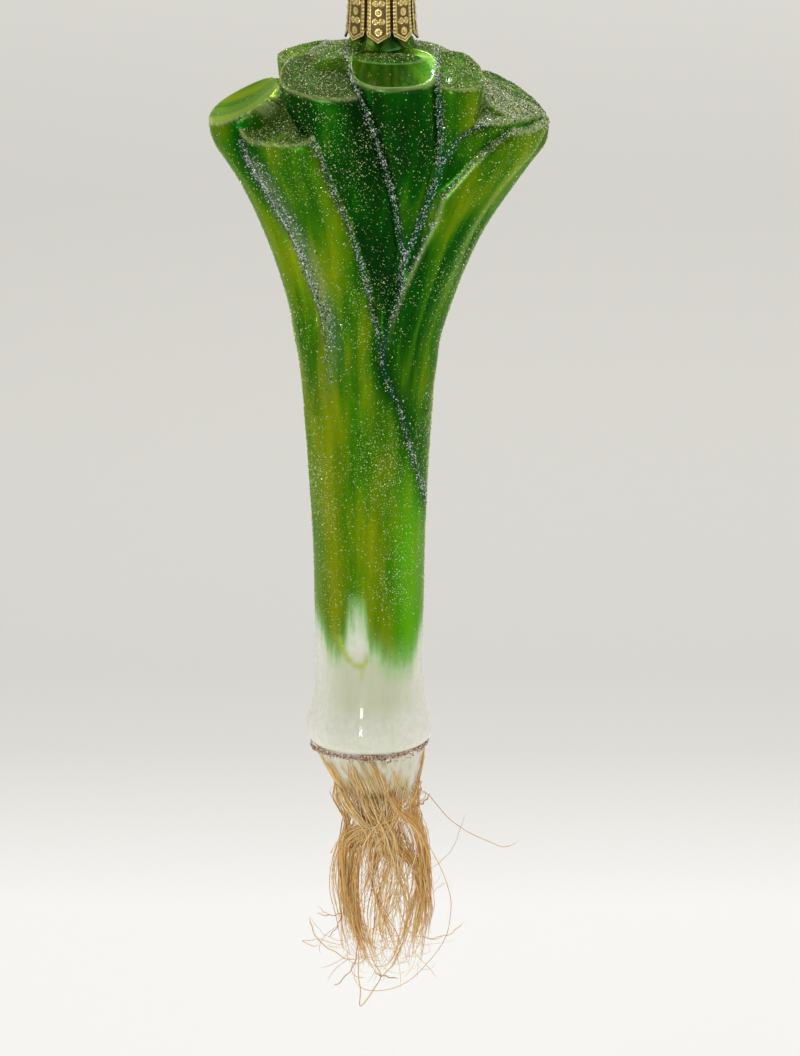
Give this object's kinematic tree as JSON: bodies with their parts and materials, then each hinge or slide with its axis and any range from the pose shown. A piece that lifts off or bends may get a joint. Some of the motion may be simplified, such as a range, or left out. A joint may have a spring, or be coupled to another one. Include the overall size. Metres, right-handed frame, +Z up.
{
  "type": "leek-shaped glass hanging ornament",
  "caption": "Blown-glass hanging ornament moulded as a leek, with a metal cap, wire loop, glitter band and a tassel of dried fibres for roots.",
  "frame": {"origin": "inside top of the wire hanging loop, where a hook or thread bears", "axes": "+Z up along the cap, neck and stalk; -Y towards the front; +X to the right as seen from the front"},
  "size_m": [0.0563, 0.0342, 0.1906],
  "materials": {
    "lacquered_glass": "silvered inside and painted green to white, glossy",
    "cap_metal": "pressed, pale gold",
    "wire_metal": "drawn wire, pale gold",
    "glitter": "plum-brown glitter in glue",
    "plant_fibre": "dry plant fibre"
  },
  "bodies": {
    "root": {"glass_body": "lacquered_glass", "crown_cap": "cap_metal", "hanger_wire": "wire_metal", "glitter_band": "glitter", "root_fibres": "plant_fibre"}
  },
  "joints": []
}
